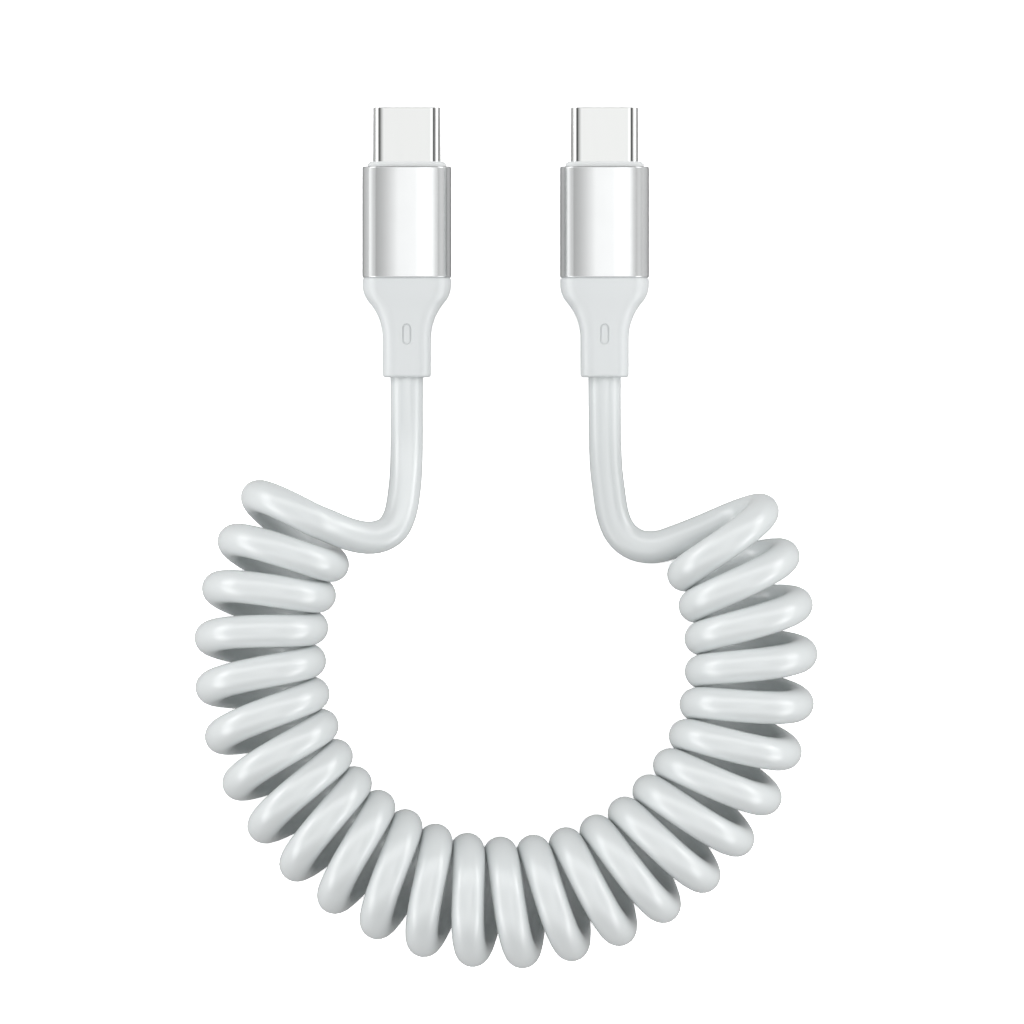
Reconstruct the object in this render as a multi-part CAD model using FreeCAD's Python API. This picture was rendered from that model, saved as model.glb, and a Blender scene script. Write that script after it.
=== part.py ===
# Coiled USB-C charging cable: two plugs joined by a curly cord that lies in an open ring.
# Frame, in millimetres: +X runs from the left plug to the right one, +Y out of the plugs' mouths
# and +Z up from the surface that the cable lies on. The origin is on that surface, midway
# between the plugs and half-way along them.
import FreeCAD, Part
import os
from math import atan, atan2, cos, pi, radians, sin, sqrt, tan

V = FreeCAD.Vector
MITRED = 1  # corner style of a sweep along straight runs
CLOSE = 1e-6  # lengths that differ by less than this are equal

# Cord
cord_diameter = 4.0
jacket_hold = 4.0  # length of jacket gripped inside each boot
bend_share = 0.45  # part of a run that the arc at each of its ends may use

# Curly part of the cord: a ring of close turns, open towards the plugs
coil_diameter = 16.0  # outside of the turns
ring_radius = 30.1  # to the middle of the turns
ring_distance = 50.7  # from the origin back to the ring's centre
coil_start = 137.0  # degrees, counter-clockwise from +X
coil_end = 399.5

# Plug shell, at the standard plug's size
plug_spacing = 24.2
shell_width = 8.25
shell_height = 2.40
shell_wall = 0.25
shell_reach = 6.65  # out of the collar
shell_tail = 3.9  # held inside the mould
shell_lip = 0.10  # chamfer of the front edge

# Front housing, with the slot that takes the socket's tongue
insulator_clearance = 0.02
housing_setback = 0.25  # behind the shell's lip
housing_length = 5.6
slot_side_wall = 0.41
tongue_thickness = 0.70
tongue_clearance = 0.10
slot_depth = 5.2

# Contacts and the blocks that carry them
contact_pitch = 0.5
contact_places = 12
upper_contacts = (1, 4, 5, 6, 7, 9, 12)
lower_contacts = (1, 4, 5, 9, 12)
contact_width = 0.22
contact_thickness = 0.15
contact_clearance = 0.04
contact_height = 0.62  # middle of the beam above the plug's mid-plane
contact_tip_depth = 1.95  # behind the shell's lip
contact_tip_height = 0.50
crest_depth = 2.5
crest_height = 0.355
crest_root_depth = 3.2
groove_front_depth = 1.75
block_length = 3.2

# Latch plate between the contact blocks, with a hooked arm on each side of the slot
latch_thickness = 0.20
latch_clearance = 0.04
latch_arm_width = 0.28
latch_tip_depth = 1.5
latch_hook_depth = 2.0
latch_hook_length = 0.35  # each flank of the hook
latch_hook_reach = 0.43  # into the slot
latch_root_length = 1.3
latch_plate_width = 6.2

# Ground springs in the front housing's outer faces
spring_thickness = 0.08
spring_recess = 0.10
spring_clearance = 0.05
spring_inset = 0.855  # from each side of the housing
spring_base_depth = 1.15
spring_base_length = 0.5
finger_count = 3
finger_width = 1.0
finger_margin = 0.3  # from each end of the strip
finger_crest_depth = 0.75
finger_crest_height = 0.42
finger_tip_depth = 0.58
finger_tip_height = 0.52

# Paddle card and the wires soldered to it
card_inset = 0.355  # from each side of the insulators
card_thickness = 0.8
card_length = 7.2
card_gap = 0.3  # behind the contact blocks
tail_lap = 0.95  # contact tails on the card
tail_lead_in = 0.075  # contact tails are level this far in front of the card
power_wire_diameter = 1.1
data_wire_diameter = 0.66
wire_gap = 0.04
wire_lap = 1.6  # wire ends on the card
solder_gap = 0.05  # solder between a wire and its pad
wire_lead_in = 1.5  # level again this far behind the card
power_pad_offset = 2.6
data_pad_offset = 0.8

# Sleeve: crowned faces with a narrow flat, rounded corners and flat sides
sleeve_width = 10.9
sleeve_thickness = 6.0
sleeve_length = 13.6
sleeve_wall = 0.6
sleeve_flat = 2.0
sleeve_crown_radius = 14.0
sleeve_corner_radius = 2.2
sleeve_edge = 0.25  # chamfer of the front edge

# Inner mould: fills the sleeve, shows as a collar in front and keys into the boot behind
mould_clearance = 0.05
collar_reach = 0.6
collar_edge = 0.3  # chamfer of the front edge
mould_tail_length = 2.0
mould_tail_width = 7.4
mould_tail_height = 3.2

# Boot: flush with the sleeve, then an ogee down to a neck
boot_length = 12.2
boot_seam = 0.15  # width and depth of the groove against the sleeve
boot_straight = 0.9
boot_flare = 6.6
boot_shoulder_radius = 3.2
boot_stations = 9
neck_width = 5.95
neck_thickness = 5.2
neck_flat = 1.6
neck_crown_radius = 20.0
neck_corner_radius = 1.85
neck_edge = 0.35  # chamfer of the rear edge
pocket_length = 2.6
pocket_width = 1.1
pocket_depth = 0.3
pocket_from_end = 5.25

# Places that follow from the sizes; depths run back from the shell's lip
plug_length = shell_reach + collar_reach + sleeve_length + boot_length
lip_y = plug_length / 2
plug_x = plug_spacing / 2
plug_z = sleeve_thickness / 2
sleeve_depth = shell_reach + collar_reach
boot_depth = sleeve_depth + sleeve_length
jacket_depth = plug_length - jacket_hold
shell_depth = shell_reach + shell_tail
housing_rear = housing_setback + housing_length
block_rear = housing_rear + block_length
card_front = block_rear + card_gap
card_rear = card_front + card_length
insulator_width = shell_width - 2 * (shell_wall + insulator_clearance)
insulator_height = shell_height - 2 * (shell_wall + insulator_clearance)
slot_width = insulator_width - 2 * slot_side_wall
slot_height = tongue_thickness + 2 * tongue_clearance
spring_width = insulator_width - 2 * spring_inset
finger_pitch = (spring_width - finger_width - 2 * finger_margin) / (finger_count - 1)
card_width = insulator_width - 2 * card_inset

jacket_end_y = lip_y - jacket_depth


def beside_ring(inset, angle, height):
    """Point that lies inset inside the middle of the turns, at an angle round the ring."""
    reach = ring_radius - inset
    return V(reach * cos(radians(angle)), reach * sin(radians(angle)) - ring_distance, height)


# Routes of the leads: out of the boot, round the bend and into the coil
left_route = [
    V(-plug_x, jacket_end_y, plug_z),
    V(-plug_x, -19.9, plug_z),
    V(-plug_x, -27.2, 4.6),
    V(-12.5, -30.9, 6.1),
    beside_ring(8.3, 127.0, 7.1),
    beside_ring(8.8, 133.3, 7.9),
    beside_ring(7.9, 139.3, 8.6),
    beside_ring(5.9, 142.8, 9.6),
    beside_ring(3.4, 144.0, 10.6),
]
right_route = [
    V(plug_x, jacket_end_y, plug_z),
    V(plug_x, -19.9, plug_z),
    V(plug_x, -27.2, 2.2),
    V(12.6, -30.9, 2.0),
    beside_ring(8.3, 53.0, 2.0),
    beside_ring(9.4, 46.6, 2.05),
    beside_ring(9.1, 39.5, 2.3),
    beside_ring(7.2, 34.9, 2.8),
    beside_ring(4.4, 33.6, 3.6),
]


def blend(start, end, share):
    """Value that lies the given share of the way from start to end."""
    return start + (end - start) * share


def box(width, depth_from, depth_to, z_from, z_to, x=0.0):
    """Block centred on x, between two depths and two heights."""
    corner = V(x - width / 2, -depth_to, z_from)
    return Part.makeBox(width, depth_to - depth_from, z_to - z_from, corner)


def stadium(length, breadth, centre, along, across):
    """Face with two straight sides and full-round ends."""
    radius = breadth / 2
    reach = along * (length / 2 - radius)
    side = across * radius
    tip = along * (length / 2)
    wire = Part.Wire([
        Part.LineSegment(centre - reach + side, centre + reach + side).toShape(),
        Part.Arc(centre + reach + side, centre + tip, centre + reach - side).toShape(),
        Part.LineSegment(centre + reach - side, centre - reach - side).toShape(),
        Part.Arc(centre - reach - side, centre - tip, centre - reach + side).toShape(),
    ])
    return Part.Face(wire)


def plug_prism(width, height, depth_from, depth_to):
    """Bar of the plug's stadium section between two depths."""
    face = stadium(width, height, V(0, -depth_from, 0), V(1, 0, 0), V(0, 0, 1))
    return face.extrude(V(0, depth_from - depth_to, 0))


def crowned_section(width, height, flat, crown_radius, corner_radius, depth):
    """Outline across a plug's body: narrow flats, crowned faces, rounded corners, flat sides."""
    half_flat = flat / 2
    corner_x = width / 2 - corner_radius
    crown_z = height / 2 - crown_radius
    rise = sqrt((crown_radius - corner_radius) ** 2 - (corner_x - half_flat) ** 2)
    corner_z = crown_z + rise
    meet = atan2(rise, corner_x - half_flat)
    crown_middle = (meet + pi / 2) / 2
    quadrant = [
        (half_flat, height / 2),
        (half_flat + crown_radius * cos(crown_middle), crown_z + crown_radius * sin(crown_middle)),
        (half_flat + crown_radius * cos(meet), crown_z + crown_radius * sin(meet)),
        (corner_x + corner_radius * cos(meet / 2), corner_z + corner_radius * sin(meet / 2)),
        (width / 2, corner_z),
    ]
    quarters = []
    for side_x, side_z in ((1, 1), (1, -1), (-1, -1), (-1, 1)):
        quarter = [V(side_x * x, -depth, side_z * z) for x, z in quadrant]
        quarters.append(quarter if side_x == side_z else quarter[::-1])
    edges = []
    for quarter, following in zip(quarters, quarters[1:] + quarters[:1]):
        edges.append(Part.Arc(*quarter[:3]).toShape())
        edges.append(Part.Arc(*quarter[2:]).toShape())
        edges.append(Part.LineSegment(quarter[4], following[0]).toShape())
    return Part.Wire(edges)


def sleeve_section(inset, depth):
    """The sleeve's outline, moved inwards by inset."""
    return crowned_section(
        sleeve_width - 2 * inset,
        sleeve_thickness - 2 * inset,
        sleeve_flat,
        sleeve_crown_radius - inset,
        sleeve_corner_radius - inset,
        depth,
    )


def bar(section, length):
    """Section carried straight back along the plug."""
    return Part.Face(section).extrude(V(0, -length, 0))


def end_edges(shape, depth):
    """Edges of a bar's end face at the given depth."""
    return [edge for edge in shape.Edges if all(abs(v.Y + depth) < CLOSE for v in edge.Vertexes)]


def bent_strip(line, thickness, width, x):
    """Sheet-metal strip of the given width, bent along a line of (depth, height) points."""
    points = [V(x - width / 2, -depth, height) for depth, height in line]
    normals = []
    for start, end in zip(points, points[1:]):
        run = (end - start).normalize()
        normals.append(V(0, -run.z, run.y))
    upper = []
    lower = []
    for point, before, after in zip(points, normals[:1] + normals, normals + normals[-1:]):
        mitre = (before + after) * (thickness / 2 / (1 + before.dot(after)))
        upper.append(point + mitre)
        lower.append(point - mitre)
    outline = upper + lower[::-1]
    return Part.Face(Part.makePolygon(outline + outline[:1])).extrude(V(width, 0, 0))


def rounded_path(points):
    """Straight runs joined by the largest tangent arcs that they leave room for, and the arcs' radii."""
    edges = []
    radii = []
    here = points[0]
    for before, corner, after in zip(points, points[1:], points[2:]):
        run_in = corner - before
        run_out = after - corner
        reach = bend_share * min(run_in.Length, run_out.Length)
        turn = run_in.getAngle(run_out)
        way_in = run_in.normalize()
        way_out = run_out.normalize()
        radius = reach / tan(turn / 2)
        inward = (way_out - way_in).normalize()
        arc_start = corner - way_in * reach
        arc_middle = corner + inward * (radius / cos(turn / 2) - radius)
        arc_end = corner + way_out * reach
        edges.append(Part.LineSegment(here, arc_start).toShape())
        edges.append(Part.Arc(arc_start, arc_middle, arc_end).toShape())
        radii.append(radius)
        here = arc_end
    edges.append(Part.LineSegment(here, points[-1]).toShape())
    return Part.Wire(edges), radii


def tube(points, diameter):
    """Round bar along a rounded path, with the path's length and radii."""
    path, radii = rounded_path(points)
    circle = Part.makeCircle(diameter / 2, points[0], points[1] - points[0])
    return path.makePipe(Part.Face(Part.Wire(circle))), path.Length, radii


def plug_shell():
    """Drawn steel shell with an eased lip."""
    outside = plug_prism(shell_width, shell_height, 0, shell_depth)
    outside = outside.makeChamfer(shell_lip, end_edges(outside, 0))
    inside = plug_prism(shell_width - 2 * shell_wall, shell_height - 2 * shell_wall, 0, shell_depth)
    return outside.cut(inside)


def contact_lines():
    """Bent line of an upper contact: tail on the card, beam, crest in the slot and raised tip."""
    tail_height = (card_thickness + contact_thickness) / 2
    return [
        (card_front + tail_lap, tail_height),
        (card_front - tail_lead_in, tail_height),
        (block_rear, contact_height),
        (crest_root_depth, contact_height),
        (crest_depth, crest_height),
        (contact_tip_depth, contact_tip_height),
    ]


def contact_x(place):
    """Sideways position of a contact by its place in the row."""
    return (place - (contact_places + 1) / 2) * contact_pitch


def upside_down(shape):
    """The same piece turned over about the plug's axis, for the lower side."""
    turned = shape.copy()
    turned.rotate(V(0, 0, 0), V(0, 1, 0), 180)
    return turned


def contact_row(places):
    """One row of contacts, for the upper side."""
    line = contact_lines()
    return [bent_strip(line, contact_thickness, contact_width, contact_x(place)) for place in places]


def contact_block(contacts):
    """Upper insulator moulded around one row of contacts."""
    block = plug_prism(insulator_width, insulator_height, housing_rear, block_rear)
    upper_half = box(shell_width, housing_rear, block_rear, latch_thickness / 2, shell_height)
    return block.common(upper_half).cut(contacts)


def latch_plate():
    """Flat plate with a forward arm on each side, each ending in a hook that points into the slot."""
    arm_inner = slot_width / 2 + latch_clearance
    arm_outer = arm_inner + latch_arm_width
    half = [
        (arm_inner, housing_rear),
        (arm_inner, latch_hook_depth + latch_hook_length),
        (arm_inner - latch_clearance - latch_hook_reach, latch_hook_depth),
        (arm_inner, latch_hook_depth - latch_hook_length),
        (arm_inner, latch_tip_depth),
        (arm_outer, latch_tip_depth),
        (arm_outer, housing_rear + latch_root_length),
        (latch_plate_width / 2, housing_rear + latch_root_length),
        (latch_plate_width / 2, block_rear),
    ]
    floor = -latch_thickness / 2
    right = [V(x, -depth, floor) for x, depth in half]
    left = [V(-x, -depth, floor) for x, depth in half[::-1]]
    return Part.Face(Part.makePolygon(right + left + right[:1])).extrude(V(0, 0, latch_thickness))


def finger_places():
    """Sideways positions of a ground spring's fingers."""
    return [(index - (finger_count - 1) / 2) * finger_pitch for index in range(finger_count)]


def ground_spring():
    """Upper ground spring: a thin strip in a recess, with fingers that reach through into the slot."""
    floor = insulator_height / 2 - spring_recess
    base_end = spring_base_depth + spring_base_length
    spring = box(spring_width, spring_base_depth, base_end, floor, floor + spring_thickness)
    middle = floor + spring_thickness / 2
    line = [
        (base_end, middle),
        (spring_base_depth, middle),
        (finger_crest_depth, finger_crest_height),
        (finger_tip_depth, finger_tip_height),
    ]
    fingers = [bent_strip(line, spring_thickness, finger_width, x) for x in finger_places()]
    return spring.fuse(fingers).removeSplitter()


def front_housing():
    """Insulator with the tongue's slot, contact grooves, side slits for the latch and spring seats."""
    housing = plug_prism(insulator_width, insulator_height, housing_setback, housing_rear)
    top = insulator_height / 2
    cuts = [box(slot_width, 0, slot_depth, -slot_height / 2, slot_height / 2)]
    slit = latch_thickness / 2 + latch_clearance
    cuts.append(box(shell_width, latch_tip_depth - latch_clearance, housing_rear, -slit, slit))
    groove_width = contact_width + 2 * contact_clearance
    groove_top = contact_height + contact_thickness / 2 + contact_clearance
    seat_width = spring_width + 2 * spring_clearance
    seat_end = spring_base_depth + spring_base_length + spring_clearance
    seat = box(seat_width, spring_base_depth, seat_end, top - spring_recess, shell_height)
    window_front = finger_tip_depth - 2 * spring_clearance
    window_rear = spring_base_depth + spring_clearance
    windows = [
        box(finger_width + 2 * spring_clearance, window_front, window_rear, 0, shell_height, x)
        for x in finger_places()
    ]
    for piece in [seat] + windows:
        cuts += [piece, upside_down(piece)]
    for place in upper_contacts:
        cuts.append(box(groove_width, groove_front_depth, housing_rear, 0, groove_top, contact_x(place)))
    for place in lower_contacts:
        groove = box(groove_width, groove_front_depth, housing_rear, 0, groove_top, contact_x(place))
        cuts.append(upside_down(groove))
    return housing.cut(cuts)


def paddle_card():
    """Small circuit board behind the contact blocks."""
    return box(card_width, card_front, card_rear, -card_thickness / 2, card_thickness / 2)


def wire(bundle_x, bundle_z, pad_x, side, diameter):
    """Wire from the jacket's end, straight through the boot and out to its pad above or below the card."""
    pad_z = side * ((card_thickness + diameter) / 2 + solder_gap)
    points = [
        V(bundle_x, -jacket_depth, bundle_z),
        V(bundle_x, -boot_depth - mould_tail_length, bundle_z),
        V(pad_x, -card_rear - wire_lead_in, pad_z),
        V(pad_x, wire_lap - card_rear, pad_z),
    ]
    circle = Part.makeCircle(diameter / 2, points[0], V(0, 1, 0))
    return Part.makePolygon(points).makePipeShell([Part.Wire(circle)], True, False, MITRED)


def wires():
    """The five wires, by name."""
    power_x = (power_wire_diameter + data_wire_diameter) / 2 + wire_gap
    pair_x = data_wire_diameter / 2 + wire_gap
    pair_z = (power_wire_diameter + data_wire_diameter) / 2 + wire_gap
    return {
        "power_wire": wire(-power_x, 0, -power_pad_offset, 1, power_wire_diameter),
        "ground_wire": wire(power_x, 0, power_pad_offset, 1, power_wire_diameter),
        "data_minus_wire": wire(-pair_x, pair_z, -data_pad_offset, 1, data_wire_diameter),
        "data_plus_wire": wire(pair_x, pair_z, data_pad_offset, 1, data_wire_diameter),
        "config_wire": wire(0, -pair_z, 0, -1, data_wire_diameter),
    }


def sleeve():
    """Aluminium tube with softened ends."""
    outside = bar(sleeve_section(0, sleeve_depth), sleeve_length)
    outside = outside.makeChamfer(sleeve_edge, end_edges(outside, sleeve_depth))
    outside = outside.makeChamfer(boot_seam, end_edges(outside, boot_depth))
    return outside.cut(bar(sleeve_section(sleeve_wall, sleeve_depth), sleeve_length))


def mould_tail():
    """Key of the inner mould that sits in the boot."""
    return plug_prism(mould_tail_width, mould_tail_height, boot_depth, boot_depth + mould_tail_length)


def inner_mould(card, wire_shapes):
    """White moulding around the shell's tail, the card and the wires."""
    length = collar_reach + sleeve_length
    body = bar(sleeve_section(sleeve_wall + mould_clearance, shell_reach), length)
    body = body.makeChamfer(collar_edge, end_edges(body, shell_reach))
    shell_seat = plug_prism(shell_width, shell_height, shell_reach, shell_depth)
    return body.fuse(mould_tail()).cut([shell_seat, card] + wire_shapes)


def flare_share(distance):
    """How far the ogee has come down to the neck, from 0 to 1, at a distance along it."""
    drop = (sleeve_width - neck_width) / 2
    slope = 2 * atan(drop / boot_flare)
    shoulder_length = boot_shoulder_radius * sin(slope)
    if distance <= shoulder_length:
        fall = boot_shoulder_radius - sqrt(boot_shoulder_radius ** 2 - distance ** 2)
    else:
        hollow_radius = boot_flare / sin(slope) - boot_shoulder_radius
        fall = drop - hollow_radius + sqrt(hollow_radius ** 2 - (boot_flare - distance) ** 2)
    return fall / drop


def boot_section(share, depth):
    """Boot's outline between the sleeve's section (share 0) and the neck's (share 1)."""
    return crowned_section(
        blend(sleeve_width, neck_width, share),
        blend(sleeve_thickness, neck_thickness, share),
        blend(sleeve_flat, neck_flat, share),
        1 / blend(1 / sleeve_crown_radius, 1 / neck_crown_radius, share),
        blend(sleeve_corner_radius, neck_corner_radius, share),
        depth,
    )


def boot():
    """Strain relief: seam groove, flush front, ogee, neck with a pocket above and below."""
    front_depth = boot_depth + boot_seam
    flare_depth = boot_depth + boot_straight
    neck_depth = flare_depth + boot_flare
    groove = bar(sleeve_section(boot_seam, boot_depth), boot_seam)
    front = bar(boot_section(0, front_depth), flare_depth - front_depth)
    stations = [boot_flare * index / (boot_stations - 1) for index in range(boot_stations)]
    flare = Part.makeLoft([boot_section(flare_share(s), flare_depth + s) for s in stations], True)
    neck = bar(boot_section(1, neck_depth), plug_length - neck_depth)
    neck = neck.makeChamfer(neck_edge, end_edges(neck, plug_length))
    pocket_centre = V(0, pocket_from_end - plug_length, neck_thickness / 2 - pocket_depth)
    pocket = stadium(pocket_length, pocket_width, pocket_centre, V(0, 1, 0), V(1, 0, 0))
    pocket = pocket.extrude(V(0, 0, sleeve_thickness))
    return groove.fuse([front, flare, neck]).cut([mould_tail(), pocket, upside_down(pocket)])


def coil():
    """Outer shape of the curly cord: one fat tube bent round the ring."""
    centre = V(0, -ring_distance, coil_diameter / 2)
    up = V(0, 0, 1)
    circle = Part.makeCircle(coil_diameter / 2, centre + V(ring_radius, 0, 0), V(0, 1, 0))
    ring = Part.Face(Part.Wire(circle)).revolve(centre, up, coil_end - coil_start)
    ring.rotate(centre, up, coil_start)
    return ring


def lead(name, route, coil_shape):
    """Round cord from inside the boot to the coil, where it ends on the coil's surface."""
    whole, length, radii = tube(route, cord_diameter)
    expected = pi * cord_diameter ** 2 / 4 * length
    print(name, "bend radii", [round(radius, 1) for radius in radii])
    print(name, "volume", round(whole.Volume, 2), "against section times length", round(expected, 2))
    return whole.cut(coil_shape)


def plug_pieces():
    """Every piece of one plug, by name, about the middle of its lip."""
    upper_row = contact_row(upper_contacts)
    lower_row = contact_row(lower_contacts)
    spring = ground_spring()
    card = paddle_card()
    wire_pieces = wires()
    wire_shapes = list(wire_pieces.values())
    pieces = {
        "plug_shell": plug_shell(),
        "front_housing": front_housing(),
        "contact_block_upper": contact_block(upper_row),
        "contact_block_lower": upside_down(contact_block(lower_row)),
        "contacts_upper": Part.makeCompound(upper_row),
        "contacts_lower": upside_down(Part.makeCompound(lower_row)),
        "latch_plate": latch_plate(),
        "ground_spring_upper": spring,
        "ground_spring_lower": upside_down(spring),
        "paddle_card": card,
        "inner_mould": inner_mould(card, wire_shapes),
        "sleeve": sleeve(),
        "boot": boot().cut(wire_shapes),
    }
    pieces.update(wire_pieces)
    return pieces


def cable():
    """Every node of the cable, in place."""
    ring = coil()
    nodes = {"coil": ring}
    pieces = plug_pieces()
    for side, x, route in (("left", -plug_x, left_route), ("right", plug_x, right_route)):
        side_lead = lead(side + "_lead", route, ring)
        for name, shape in pieces.items():
            node = shape.copy()
            node.translate(V(x, lip_y, plug_z))
            nodes[side + "_" + name] = node
        nodes[side + "_boot"] = nodes[side + "_boot"].cut(side_lead)
        nodes[side + "_lead"] = side_lead
    return nodes


os.makedirs("parts", exist_ok=True)
for node_name, node_shape in cable().items():
    node_shape.exportStep("parts/" + node_name + ".step")
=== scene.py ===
# Dressed model of a coiled charging cable: cord, sleeves, boots, plug shells, contacts and finishes.
# Metres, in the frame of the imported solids: +Y out of the plugs' mouths and +Z up.
from math import asin, atan, atan2, cos, hypot, pi, radians, sin, sqrt, tau

import bmesh
import bpy
from bpy.props import FloatProperty, FloatVectorProperty, IntProperty, PointerProperty, StringProperty
from mathutils import Matrix, Vector


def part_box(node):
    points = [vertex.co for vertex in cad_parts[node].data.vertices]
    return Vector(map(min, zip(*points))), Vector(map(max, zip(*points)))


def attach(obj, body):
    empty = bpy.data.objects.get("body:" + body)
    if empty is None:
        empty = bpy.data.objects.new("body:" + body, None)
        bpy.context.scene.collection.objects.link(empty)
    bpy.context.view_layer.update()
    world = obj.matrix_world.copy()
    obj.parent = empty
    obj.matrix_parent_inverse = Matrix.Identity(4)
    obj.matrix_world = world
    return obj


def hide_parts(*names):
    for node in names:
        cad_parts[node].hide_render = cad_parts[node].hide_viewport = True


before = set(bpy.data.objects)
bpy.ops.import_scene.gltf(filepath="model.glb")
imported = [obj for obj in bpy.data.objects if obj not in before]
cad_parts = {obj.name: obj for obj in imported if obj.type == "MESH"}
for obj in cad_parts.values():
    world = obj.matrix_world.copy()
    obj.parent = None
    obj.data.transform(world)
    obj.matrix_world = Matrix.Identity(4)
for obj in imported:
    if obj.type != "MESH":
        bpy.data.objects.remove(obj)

bl_info = {
    "name": "Coiled charging cable",
    "version": (1, 0, 0),
    "blender": (4, 5, 0),
    "location": "3D View > Sidebar > Cable",
    "description": "Dresses the packed solids of a coiled charging cable",
    "category": "Add Mesh",
}

SIDES = ("left", "right")
HARD_TURN = radians(32)  # where a surface turns by more than this, the shading shows a corner
NOISE_LOW = 0.3  # nearly all of a noise lies between these two
NOISE_HIGH = 0.7

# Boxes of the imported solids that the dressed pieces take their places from
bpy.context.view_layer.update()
coil_low, coil_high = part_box("coil")
sleeve_low, sleeve_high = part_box("right_sleeve")
boot_low, boot_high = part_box("right_boot")
shell_low, shell_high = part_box("right_plug_shell")

plug_x = (sleeve_low.x + sleeve_high.x) / 2
plug_z = (sleeve_low.z + sleeve_high.z) / 2
coil_radius = (coil_high.z - coil_low.z) / 2
ring_radius = (coil_high.x - coil_low.x) / 2 - coil_radius
ring_y = coil_low.y + ring_radius + coil_radius

# Places along each lead, from inside the boot to the coil, close to the solids' own routes
left_route = [
    (-0.0121, -0.012525, 0.0030),
    (-0.0121, -0.0199, 0.0030),
    (-0.0121, -0.0272, 0.0046),
    (-0.0124, -0.0309, 0.0063),
    (-0.0129, -0.0336, 0.0075),
    (-0.0140, -0.0355, 0.0085),
    (-0.0163, -0.0363, 0.0094),
    (-0.0191, -0.0358, 0.0106),
    (-0.0218, -0.0346, 0.0123),
]
right_route = [
    (0.0121, -0.012525, 0.0030),
    (0.0121, -0.0199, 0.0030),
    (0.0122, -0.0272, 0.0022),
    (0.0127, -0.0309, 0.0020),
    (0.0130, -0.0332, 0.0020),
    (0.0139, -0.0356, 0.0020),
    (0.0159, -0.0372, 0.0021),
    (0.0186, -0.0374, 0.0021),
    (0.0213, -0.0364, 0.0020),
    (0.0239, -0.0354, 0.0020),
]

# Depth behind the plug's lip and height above its middle, along one contact from its tail to its tip
contact_line = [
    (0.01030, 0.000475),
    (0.009275, 0.000475),
    (0.00905, 0.00062),
    (0.0032, 0.00062),
    (0.0025, 0.000355),
    (0.00195, 0.00050),
]

# Brightness of the studio across the plugs, by the degrees from straight up
across_levels = [
    (-180, 0.10), (-110, 0.40), (-98, 1.15), (-86, 1.15), (-75, 0.92), (-62, 0.65), (-49, 0.60),
    (-46, 0.10), (-31, 0.10), (-28, 0.50), (-22, 0.51), (-19, 0.57), (-14, 0.69), (-10, 0.80),
    (-5, 0.93), (-1, 1.06), (1, 1.10), (4, 1.25), (10, 1.40), (19, 1.40), (27, 0.55), (30, 0.10),
    (46, 0.10), (49, 0.50), (60, 0.65), (72, 0.70), (84, 0.60), (98, 0.50), (110, 0.25), (180, 0.10),
]

# Brightness of the studio along the plugs, by the Y of the direction
along_levels = [
    (-1.0, 0.10), (-0.85, 0.16), (-0.75, 0.50), (-0.6, 0.85), (-0.45, 0.80), (-0.3, 0.75),
    (0.3, 0.75), (0.45, 0.80), (0.6, 0.85), (0.75, 0.70), (0.85, 0.50), (1.0, 0.4),
]

lit_middle = Vector((0, -0.04, 0.01))  # place that the soft boxes face


class CordSettings(bpy.types.PropertyGroup):
    diameter: FloatProperty(
        name="Cord diameter", description="Outside of the jacket",
        default=0.004, min=0.001, unit="LENGTH", precision=4)
    turn_pitch: FloatProperty(
        name="Turn pitch", description="Angle round the ring from one turn to the next",
        default=radians(9.70), subtype="ANGLE")
    first_peak: FloatProperty(
        name="First outer peak", description="Angle round the ring of the first turn's outermost point",
        default=radians(147.2), subtype="ANGLE")
    turn_start: FloatProperty(
        name="Start in the turn",
        description="Where the left lead joins the first turn, from its outermost point",
        default=radians(100.0), subtype="ANGLE")
    turn_points: IntProperty(
        name="Points in a turn", description="Control points in each turn of the coil", default=16, min=12)
    point_count: IntProperty(
        name="Points in the coil", description="Control points in all the turns of the coil", default=409)
    lean_in: FloatProperty(
        name="Lean inwards",
        description="How much wider the turns are towards the ring's middle than they are high",
        default=0.0001, unit="LENGTH", precision=5)
    colour: FloatVectorProperty(
        name="Jacket colour", description="Colour of the cord's jacket",
        default=(0.70, 0.73, 0.733), subtype="COLOR", min=0, max=1)


class PlugSettings(bpy.types.PropertyGroup):
    sleeve_flat: FloatProperty(
        name="Sleeve flat", description="Width of the flat along the sleeve's broad faces",
        default=0.0020, unit="LENGTH", precision=4)
    sleeve_crown: FloatProperty(
        name="Sleeve crown", description="Radius of the sleeve's broad faces",
        default=0.0120, unit="LENGTH", precision=4)
    sleeve_corner: FloatProperty(
        name="Sleeve corner", description="Radius of the sleeve's corners",
        default=0.00288, unit="LENGTH", precision=5)
    sleeve_crease: FloatProperty(
        name="Sleeve crease", description="Turn between the sleeve's broad faces and its corners",
        default=radians(12), subtype="ANGLE")
    sleeve_wall: FloatProperty(
        name="Sleeve wall", description="Thickness of the sleeve",
        default=0.0006, unit="LENGTH", precision=5)
    sleeve_edge: FloatProperty(
        name="Sleeve edge", description="Rounding of the sleeve's ends",
        default=0.00018, unit="LENGTH", precision=5)
    shell_wall: FloatProperty(
        name="Shell wall", description="Thickness of the plug's steel shell",
        default=0.00025, unit="LENGTH", precision=5)
    shell_lip: FloatProperty(
        name="Shell lip", description="Rounding of the shell's front edge",
        default=0.00010, unit="LENGTH", precision=5)
    sleeve_colour: FloatVectorProperty(
        name="Sleeve colour", description="Colour of the satin aluminium",
        default=(0.875, 0.89, 0.892), subtype="COLOR", min=0, max=1)
    shell_colour: FloatVectorProperty(
        name="Shell colour", description="Colour of the bright plating",
        default=(0.80, 0.81, 0.80), subtype="COLOR", min=0, max=1)


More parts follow.
